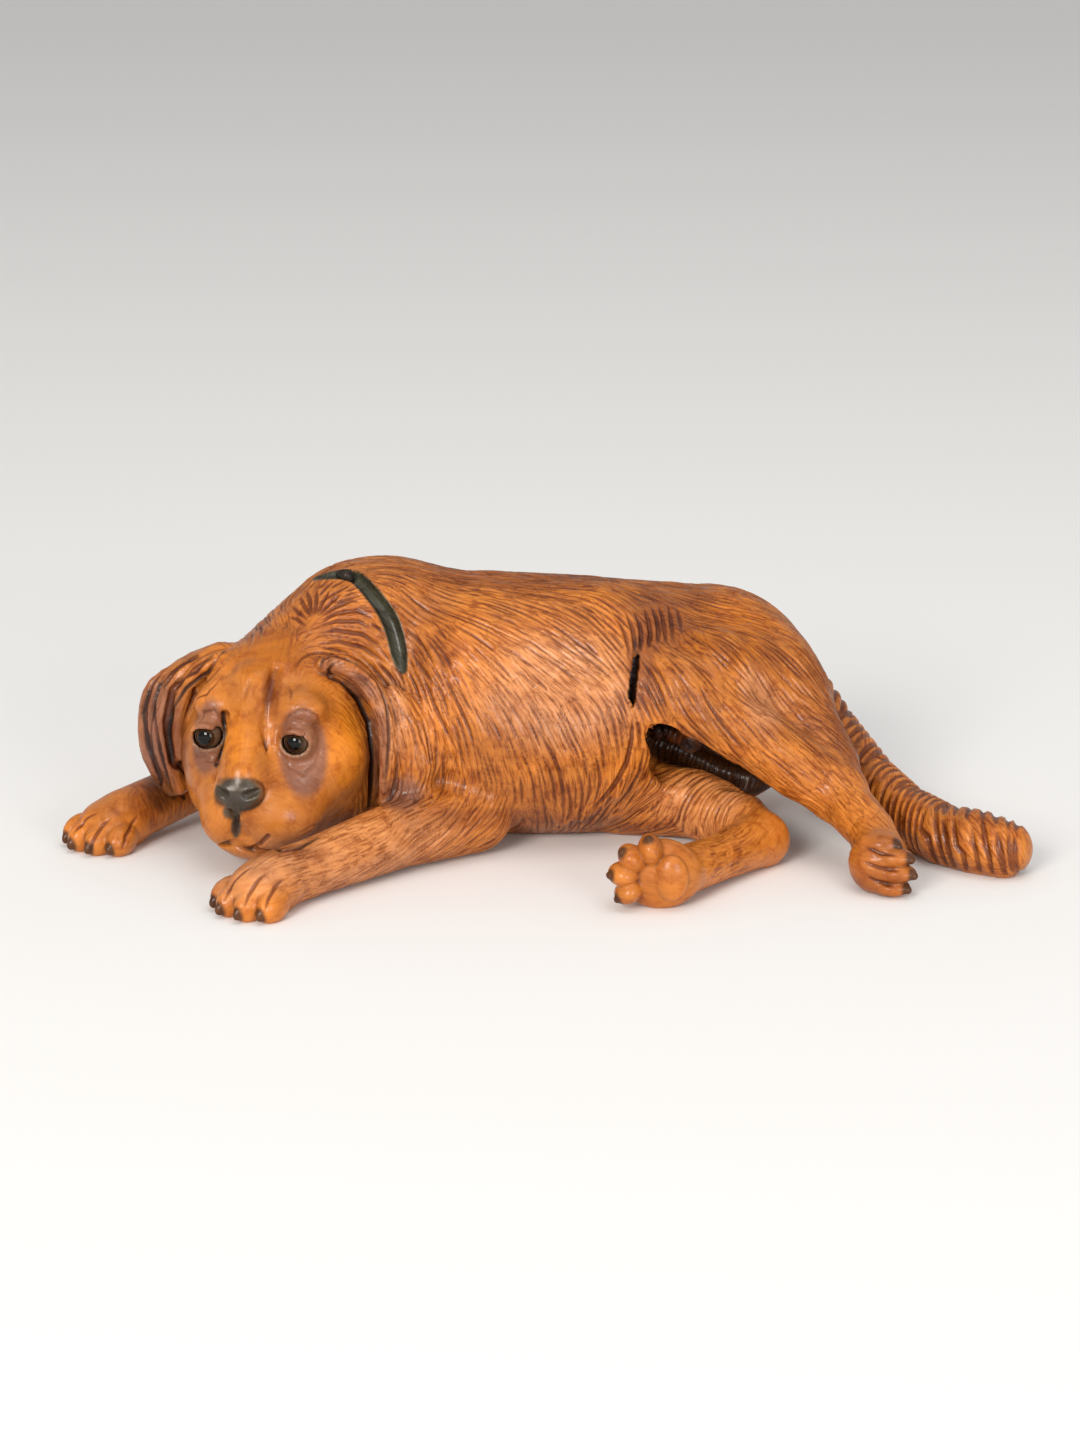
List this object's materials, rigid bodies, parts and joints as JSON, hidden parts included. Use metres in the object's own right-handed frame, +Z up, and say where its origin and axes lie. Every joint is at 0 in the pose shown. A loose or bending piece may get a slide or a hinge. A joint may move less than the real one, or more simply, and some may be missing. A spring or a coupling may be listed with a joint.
{
  "type": "carved wooden dog figurine",
  "caption": "Lying dog carved from wood, chin low between its stretched forelegs, hind legs and tail swept to one side, with glass eyes; stands on a shelf as an ornament.",
  "frame": {"origin": "under the middle of the dog's box, on the surface it lies on", "axes": "+X from the head to the tail, -Y the way the dog looks, +Z up"},
  "size_m": [0.3592, 0.1868, 0.106],
  "materials": {
    "carved_wood": "orange-brown stain under a glossy varnish, darker purple-brown on the ears and round the eyes",
    "eye_glass": "polished, dark brown iris and black pupil behind clear glass"
  },
  "bodies": {
    "root": {"carved_dog": "carved_wood", "left_eye": "eye_glass", "right_eye": "eye_glass"}
  },
  "joints": []
}
